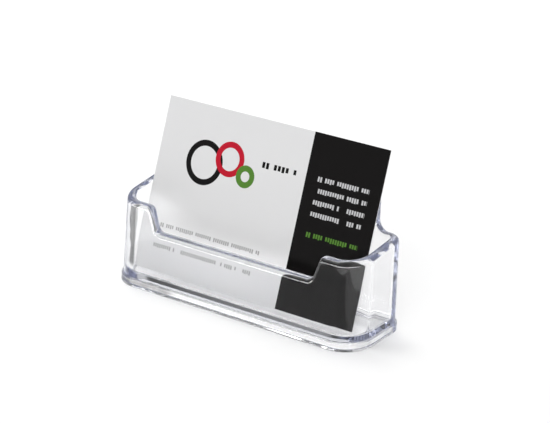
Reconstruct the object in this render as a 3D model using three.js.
// Clear desk holder for business cards, with one card leaning in it.
// Millimetres, +Z up, +Y towards the back. The origin is under the middle of the holder, on the desk.

import * as THREE from 'three';

// Card
const CARD_WIDTH = 85;
const CARD_HEIGHT = 55;
const CARD_THICKNESS = 0.35;

// Card: where it stands in the pocket, and its clearances to what is round it
const CARD_SIDE_PLAY = 2.05;
const CARD_OFF_CENTRE = -1.1;
const CARD_FOOT_SET_BACK = 4.95;
const CARD_CLEARANCE = 0.3;

// Holder: pocket depth between the walls at the desk, wall and outer corners
const POCKET_DEPTH = 18.4;
const WALL = 3;
const FRONT_CORNER_RADIUS = 9.2;
const BACK_CORNER_RADIUS = 4.6;

// Holder: how far each wall leans from upright, in degrees
const FRONT_RAKE = 8.3;
const BACK_RAKE = 5.9;
const SIDE_DRAFT = 0.4;

// Holder: foot band round the base, hollow underside and pocket floor
const FOOT_BAND_PROUD = 0.55;
const FOOT_BAND_HEIGHT = 2.6;
const FOOT_RIM = 2.3;
const UNDERSIDE_DEPTH = 1.45;
const FLOOR_THICKNESS = 1.9;
const FLOOR_FILLET = 1.1;

// Holder: heights of the top edge
const SCOOP_HEIGHT = 19.45;
const SHOULDER_HEIGHT = 27.2;
const SIDE_HEIGHT_AT_BACK = 29.4;
const BACK_PANEL_HEIGHT = 48;

// Holder: curves of the top edge, and how far the scoop and the back panel are set in from the sides
const SCOOP_SET_IN = 16.05;
const SCOOP_SIDE_ANGLE = 70;
const SCOOP_LOW_RADIUS = 2.2;
const SCOOP_HIGH_RADIUS = 2.6;
const BACK_PANEL_SET_IN = 8.85;
const BACK_PANEL_FOOT_RADIUS = 3.4;
const BACK_PANEL_CORNER_RADIUS = 6.5;

// Holder: section of the top edge, which is rounded over nearly the whole wall
const LIP_OUTER_RADIUS = 1.7;
const LIP_FLAT = 0.1;

// Number of steps in the curves
const ARC_STEPS = 6;
const STRAIGHT_STEPS = 4;
const WALL_STEPS = 3;
const LIP_STEPS = 3;

const frontLean = Math.tan(THREE.MathUtils.degToRad(FRONT_RAKE));
const backLean = Math.tan(THREE.MathUtils.degToRad(BACK_RAKE));
const sideLean = Math.tan(THREE.MathUtils.degToRad(SIDE_DRAFT));
const floorTop = UNDERSIDE_DEPTH + FLOOR_THICKNESS;
const lipInnerRadius = WALL - LIP_OUTER_RADIUS - LIP_FLAT;

// The outline at the desk, on the walls' outer faces
const halfWidth = CARD_WIDTH / 2 + CARD_SIDE_PLAY + WALL;
const baseDepth = POCKET_DEPTH + 2 * WALL;
const halfWidthAt = (z) => halfWidth - z * sideLean;
const frontAt = (z) => z * frontLean;
const backAt = (z) => baseDepth + z * backLean;

// The right half of the outline runs from the middle of the front to the middle of the back.
// It has five stretches, whose lengths give each place on it a distance from the middle of the front.
const stretchLengths = [
  halfWidth - FRONT_CORNER_RADIUS,
  FRONT_CORNER_RADIUS * Math.PI / 2,
  baseDepth - FRONT_CORNER_RADIUS - BACK_CORNER_RADIUS,
  BACK_CORNER_RADIUS * Math.PI / 2,
  halfWidth - BACK_CORNER_RADIUS,
];
const stretchStarts = [0];
for (const length of stretchLengths) {
  stretchStarts.push(stretchStarts.at(-1) + length);
}
const halfLength = stretchStarts.at(-1);

// Place on the right half, at a distance along the outline, a height and a depth in from the outer face
function wallPoint(along, z, inset) {
  let stretch = stretchLengths.length - 1;
  while (stretch > 0 && along < stretchStarts[stretch]) {
    stretch -= 1;
  }
  const share = (along - stretchStarts[stretch]) / stretchLengths[stretch];
  const half = halfWidthAt(z);
  const front = frontAt(z);
  const back = backAt(z);
  const turn = share * Math.PI / 2;
  if (stretch === 0) {
    return [share * (half - FRONT_CORNER_RADIUS), front + inset, z];
  }
  if (stretch === 1) {
    const radius = FRONT_CORNER_RADIUS - inset;
    const x = half - FRONT_CORNER_RADIUS + radius * Math.sin(turn);
    return [x, front + FRONT_CORNER_RADIUS - radius * Math.cos(turn), z];
  }
  if (stretch === 2) {
    const start = front + FRONT_CORNER_RADIUS;
    const end = back - BACK_CORNER_RADIUS;
    return [half - inset, start + share * (end - start), z];
  }
  if (stretch === 3) {
    const radius = BACK_CORNER_RADIUS - inset;
    const x = half - BACK_CORNER_RADIUS + radius * Math.cos(turn);
    return [x, back - BACK_CORNER_RADIUS + radius * Math.sin(turn), z];
  }
  return [(1 - share) * (half - BACK_CORNER_RADIUS), back - inset, z];
}

// Height of the side walls' top edge, which climbs from the front shoulder to the back
const cornerFront = frontAt(SHOULDER_HEIGHT);
const cornerBack = backAt(SIDE_HEIGHT_AT_BACK) - BACK_CORNER_RADIUS;
function sideTopAt(y) {
  const share = THREE.MathUtils.clamp((y - cornerFront) / (cornerBack - cornerFront), 0, 1);
  return THREE.MathUtils.lerp(SHOULDER_HEIGHT, SIDE_HEIGHT_AT_BACK, share);
}

// Evenly spaced values, without the first one
function spread(from, to, steps) {
  const values = [];
  for (let step = 1; step <= steps; step += 1) {
    values.push(THREE.MathUtils.lerp(from, to, step / steps));
  }
  return values;
}

// Points of an arc
function arcPoints(centreX, centreZ, radius, fromDegrees, toDegrees) {
  const points = [];
  for (let step = 0; step <= ARC_STEPS; step += 1) {
    const turn = THREE.MathUtils.degToRad(THREE.MathUtils.lerp(fromDegrees, toDegrees, step / ARC_STEPS));
    points.push([centreX + radius * Math.cos(turn), centreZ + radius * Math.sin(turn)]);
  }
  return points;
}

// Side of the finger scoop, as x and z on the front wall: a hollow arc, a steep straight and a round arc
function scoopSide() {
  const angle = THREE.MathUtils.degToRad(SCOOP_SIDE_ANGLE);
  const rise = SHOULDER_HEIGHT - SCOOP_HEIGHT;
  const arcRise = (SCOOP_LOW_RADIUS + SCOOP_HIGH_RADIUS) * (1 - Math.cos(angle));
  const straightRun = (rise - arcRise) / Math.tan(angle);
  const run = (SCOOP_LOW_RADIUS + SCOOP_HIGH_RADIUS) * Math.sin(angle) + straightRun;
  const middleX = halfWidth - SCOOP_SET_IN;
  const startX = middleX - run / 2;
  const endX = middleX + run / 2;
  const lowZ = SCOOP_HEIGHT + SCOOP_LOW_RADIUS;
  const highZ = SHOULDER_HEIGHT - SCOOP_HIGH_RADIUS;
  return [
    ...arcPoints(startX, lowZ, SCOOP_LOW_RADIUS, -90, SCOOP_SIDE_ANGLE - 90),
    ...arcPoints(endX, highZ, SCOOP_HIGH_RADIUS, SCOOP_SIDE_ANGLE + 90, 90),
  ];
}

// Edge of the raised back panel, as x and z on the back wall: hollow foot, upright side and round corner
function panelSide() {
  const side = halfWidth - BACK_PANEL_SET_IN;
  const footX = side + BACK_PANEL_FOOT_RADIUS;
  const footZ = SIDE_HEIGHT_AT_BACK + BACK_PANEL_FOOT_RADIUS;
  const cornerX = side - BACK_PANEL_CORNER_RADIUS;
  const cornerZ = BACK_PANEL_HEIGHT - BACK_PANEL_CORNER_RADIUS;
  const foot = arcPoints(footX, footZ, BACK_PANEL_FOOT_RADIUS, -90, -180);
  const corner = arcPoints(cornerX, cornerZ, BACK_PANEL_CORNER_RADIUS, 0, 90);
  const upright = spread(footZ, cornerZ, STRAIGHT_STEPS).map((z) => [side, z]);
  return [...foot, ...upright, ...corner.slice(1)];
}

// Distance along the outline of a place x on the front wall or the back wall
function alongFront(x, z) {
  return stretchLengths[0] * x / (halfWidthAt(z) - FRONT_CORNER_RADIUS);
}
function alongBack(x, z) {
  return halfLength - stretchLengths[4] * x / (halfWidthAt(z) - BACK_CORNER_RADIUS);
}

// Top edge of the right half: for each column of the wall, its place at the desk and at the top
function topEdge() {
  const scoop = scoopSide();
  const panel = panelSide();
  const scoopStart = alongFront(...scoop[0]);
  const scoopEnd = alongFront(...scoop.at(-1));
  const panelStart = alongBack(...panel[0]);
  const columns = [];
  const upright = (along, z) => columns.push({ foot: along, along, z });

  upright(0, SCOOP_HEIGHT);
  for (const along of spread(0, scoopStart, STRAIGHT_STEPS)) {
    upright(along, SCOOP_HEIGHT);
  }
  for (const [x, z] of scoop.slice(1)) {
    upright(alongFront(x, z), z);
  }
  const stops = [
    [scoopEnd, stretchStarts[1], 1],
    [stretchStarts[1], stretchStarts[2], ARC_STEPS + 2],
    [stretchStarts[2], stretchStarts[3], STRAIGHT_STEPS],
    [stretchStarts[3], stretchStarts[4], ARC_STEPS],
  ];
  for (const [from, to, steps] of stops) {
    for (const along of spread(from, Math.min(to, panelStart), steps)) {
      upright(along, sideTopAt(wallPoint(along, SHOULDER_HEIGHT, 0)[1]));
    }
  }

  // The columns under the panel's edge fan out, so that their feet are spaced by the length of the edge.
  // A panel that starts inside the back corner takes over from the corner's last column.
  const edge = panel.map(([x, z]) => ({ along: alongBack(x, z), z }));
  const panelTopStart = edge.at(-1).along;
  for (const along of spread(panelTopStart, halfLength, STRAIGHT_STEPS)) {
    edge.push({ along, z: BACK_PANEL_HEIGHT });
  }
  const lengths = [0];
  for (let place = 1; place < edge.length; place += 1) {
    const across = edge[place].along - edge[place - 1].along;
    const up = edge[place].z - edge[place - 1].z;
    lengths.push(lengths.at(-1) + Math.hypot(across, up));
  }
  edge.forEach((point, place) => {
    const foot = THREE.MathUtils.lerp(panelStart, halfLength, lengths[place] / lengths.at(-1));
    if (foot > columns.at(-1).foot) {
      columns.push({ foot, along: point.along, z: point.z });
    }
  });
  return columns;
}

// Direction into the wall from its top edge, along the wall's face
function addEdgeDirections(columns) {
  columns.forEach((column, place) => {
    const before = columns[Math.max(place - 1, 0)];
    const after = columns[Math.min(place + 1, columns.length - 1)];
    const across = place === 0 || place === columns.length - 1 ? 1 : after.along - before.along;
    const up = place === 0 || place === columns.length - 1 ? 0 : after.z - before.z;
    const length = Math.hypot(across, up);
    column.intoAlong = up / length;
    column.intoZ = -across / length;
  });
}

// Section through the wall at one column, from the underside round the top edge to the pocket floor
function wallSection(column) {
  const bandTop = FOOT_BAND_HEIGHT + FOOT_BAND_PROUD;
  const filletTop = floorTop + FLOOR_FILLET;
  const section = [];
  const add = (along, z, inset) => section.push(wallPoint(along, z, inset));
  const addFace = (share, low, inset, lipRadius) => {
    const along = THREE.MathUtils.lerp(column.foot, column.along + column.intoAlong * lipRadius, share);
    add(along, THREE.MathUtils.lerp(low, column.z + column.intoZ * lipRadius, share), inset);
  };
  const addLip = (turn, radius, insetAt) => {
    const depth = radius * (1 - Math.sin(turn));
    const inset = insetAt(radius * (1 - Math.cos(turn)));
    add(column.along + column.intoAlong * depth, column.z + column.intoZ * depth, inset);
  };

  add(column.foot, UNDERSIDE_DEPTH, FOOT_RIM);
  add(column.foot, 0, FOOT_RIM);
  add(column.foot, 0, -FOOT_BAND_PROUD);
  add(column.foot, FOOT_BAND_HEIGHT, -FOOT_BAND_PROUD);
  for (let step = 0; step < WALL_STEPS; step += 1) {
    addFace(step / WALL_STEPS, bandTop, 0, LIP_OUTER_RADIUS);
  }
  for (let step = 0; step <= LIP_STEPS; step += 1) {
    addLip(step / LIP_STEPS * Math.PI / 2, LIP_OUTER_RADIUS, (depth) => depth);
  }
  for (let step = LIP_STEPS; step >= 0; step -= 1) {
    addLip(step / LIP_STEPS * Math.PI / 2, lipInnerRadius, (depth) => WALL - depth);
  }
  for (let step = WALL_STEPS - 1; step >= 0; step -= 1) {
    addFace(step / WALL_STEPS, filletTop, WALL, lipInnerRadius);
  }
  for (let step = 1; step <= LIP_STEPS; step += 1) {
    const turn = step / LIP_STEPS * Math.PI / 2;
    const inset = WALL + FLOOR_FILLET * (1 - Math.cos(turn));
    add(column.foot, filletTop - FLOOR_FILLET * Math.sin(turn), inset);
  }
  return section;
}

// Closed skin over the sections, which follow each other round the holder, with a flat fan at each end
function skin(sections) {
  const rings = sections[0].length;
  const positions = sections.flat(2);
  const index = [];
  const at = (column, ring) => (column % sections.length) * rings + ring;
  for (let column = 0; column < sections.length; column += 1) {
    for (let ring = 0; ring < rings - 1; ring += 1) {
      const here = at(column, ring);
      const next = at(column + 1, ring);
      index.push(here, next, next + 1, here, next + 1, here + 1);
    }
  }
  const fan = (ring, facesUp) => {
    const front = sections[0][ring];
    const back = sections[sections.length / 2][ring];
    const centre = positions.length / 3;
    positions.push(0, (front[1] + back[1]) / 2, front[2]);
    for (let column = 0; column < sections.length; column += 1) {
      const here = at(column, ring);
      const next = at(column + 1, ring);
      index.push(centre, facesUp ? here : next, facesUp ? next : here);
    }
  };
  fan(0, false);
  fan(rings - 1, true);
  const geometry = new THREE.BufferGeometry();
  geometry.setAttribute('position', new THREE.Float32BufferAttribute(positions, 3));
  geometry.setIndex(index);
  geometry.computeVertexNormals();
  return geometry;
}

function holderGeometry() {
  const columns = topEdge();
  addEdgeDirections(columns);
  const right = columns.map(wallSection);
  const left = right.slice(1, -1).reverse().map((section) => section.map(([x, y, z]) => [-x, y, z]));
  return skin([...right, ...left]);
}

// The card stands on the pocket floor and leans on the rounded top edge of the back panel
function cardPose() {
  const footY = WALL + CARD_FOOT_SET_BACK;
  const footZ = floorTop + CARD_CLEARANCE;
  const edgeZ = BACK_PANEL_HEIGHT - lipInnerRadius;
  const across = backAt(edgeZ) - WALL + lipInnerRadius - footY;
  const up = edgeZ - footZ;
  const reach = lipInnerRadius + CARD_CLEARANCE;
  const lean = Math.atan2(across, up) - Math.asin(reach / Math.hypot(across, up));
  return { footY, footZ, lean };
}

const clearPlastic = new THREE.MeshStandardMaterial({ color: 0xe6ebf2, roughness: 0.08, metalness: 0 });
const paper = new THREE.MeshStandardMaterial({ color: 0xd9dadc, roughness: 0.6, metalness: 0 });

const holder = new THREE.Mesh(holderGeometry(), clearPlastic);
holder.name = 'holder';

const { footY, footZ, lean } = cardPose();
const card = new THREE.Mesh(new THREE.BoxGeometry(CARD_WIDTH, CARD_THICKNESS, CARD_HEIGHT), paper);
card.name = 'business_card';
card.position.set(0, -CARD_THICKNESS / 2, CARD_HEIGHT / 2);

// Turned about the card's lower back edge
const cardLean = new THREE.Group();
cardLean.position.set(CARD_OFF_CENTRE, footY, footZ);
cardLean.rotation.x = -lean;
cardLean.add(card);

// The origin is moved from the front of the base to the middle of the holder's depth at its widest
const frontmost = -FOOT_BAND_PROUD;
const backmost = backAt(BACK_PANEL_HEIGHT - LIP_OUTER_RADIUS);
const model = new THREE.Group();
model.position.y = -(frontmost + backmost) / 2;
model.add(holder, cardLean);

const part = new THREE.Group();
part.add(model);

export default part;
